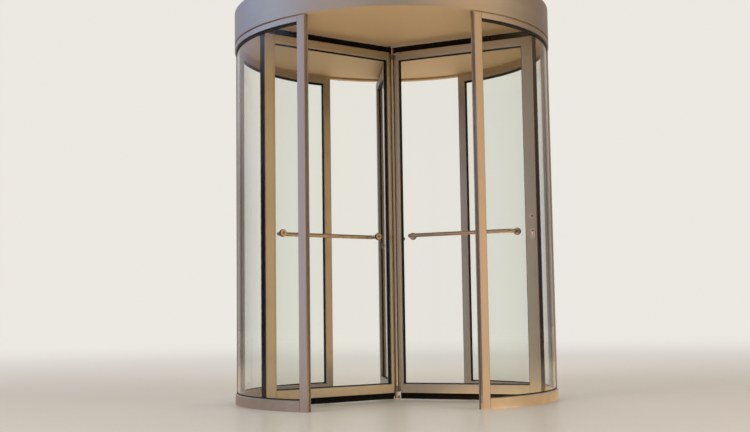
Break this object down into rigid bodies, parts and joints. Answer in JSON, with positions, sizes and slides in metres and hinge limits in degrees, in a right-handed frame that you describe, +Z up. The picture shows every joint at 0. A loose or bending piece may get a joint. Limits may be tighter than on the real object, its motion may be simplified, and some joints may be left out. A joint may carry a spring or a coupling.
{
  "type": "revolving door",
  "caption": "Round glass drum with a flat canopy and a hand-pushed rotor of framed glass wings that turns about a centre column.",
  "frame": {"origin": "middle of the drum at floor level, on the rotor's axis", "axes": "+Z up along the rotor's axis; -Y towards the street entrance; +X to the right seen from the street"},
  "size_m": [2.06, 2.0598, 2.505],
  "materials": {
    "satin_aluminium": "satin anodised, fine brushed grain",
    "roof_sheet": "mill finish sheet",
    "clear_glass": "clear, polished",
    "black_rubber": "matt black",
    "black_brush": "dense bristle",
    "ceiling_paint": "warm beige, smooth matt coat",
    "zinc_steel": "zinc coated",
    "brushed_stainless": "brushed stainless",
    "lock_steel": "satin",
    "bright_chrome": "polished"
  },
  "bodies": {
    "drum": {"floor_bearing": "bright_chrome", "front_left_post": "satin_aluminium", "front_right_post": "satin_aluminium", "rear_left_post": "satin_aluminium", "rear_right_post": "satin_aluminium", "left_mid_post": "satin_aluminium", "right_mid_post": "satin_aluminium", "left_head_rails": "satin_aluminium", "right_head_rails": "satin_aluminium", "left_sill_rails": "satin_aluminium", "right_sill_rails": "satin_aluminium", "front_left_pane": "clear_glass", "rear_left_pane": "clear_glass", "front_right_pane": "clear_glass", "rear_right_pane": "clear_glass", "wall_gaskets": "black_rubber", "entrance_seals": "black_rubber", "soffit_ring": "ceiling_paint", "ceiling": "ceiling_paint", "front_fascia": "satin_aluminium", "rear_fascia": "satin_aluminium", "canopy_frame": "zinc_steel", "top_bearing": "zinc_steel", "roof_cover": "roof_sheet"},
    "rotor": {"spindle": "brushed_stainless", "centre_tube": "brushed_stainless", "hubs": "zinc_steel", "left_wing_inner_stile": "satin_aluminium", "left_wing_outer_stile": "satin_aluminium", "left_wing_rails": "satin_aluminium", "left_wing_glass": "clear_glass", "left_wing_push_bar": "brushed_stainless", "right_wing_inner_stile": "satin_aluminium", "right_wing_outer_stile": "satin_aluminium", "right_wing_rails": "satin_aluminium", "right_wing_glass": "clear_glass", "right_wing_push_bar": "brushed_stainless", "rear_wing_inner_stile": "satin_aluminium", "rear_wing_outer_stile": "satin_aluminium", "rear_wing_rails": "satin_aluminium", "rear_wing_glass": "clear_glass", "rear_wing_push_bar": "brushed_stainless", "wing_gaskets": "black_rubber", "wing_brushes": "black_brush", "wing_lock": "lock_steel"}
  },
  "joints": [
    {"name": "rotor_spin", "type": "hinge", "parent": "drum", "child": "rotor", "pos_m": [0, 0, 0], "axis": [0, 0, 1], "continuous": true}
  ]
}
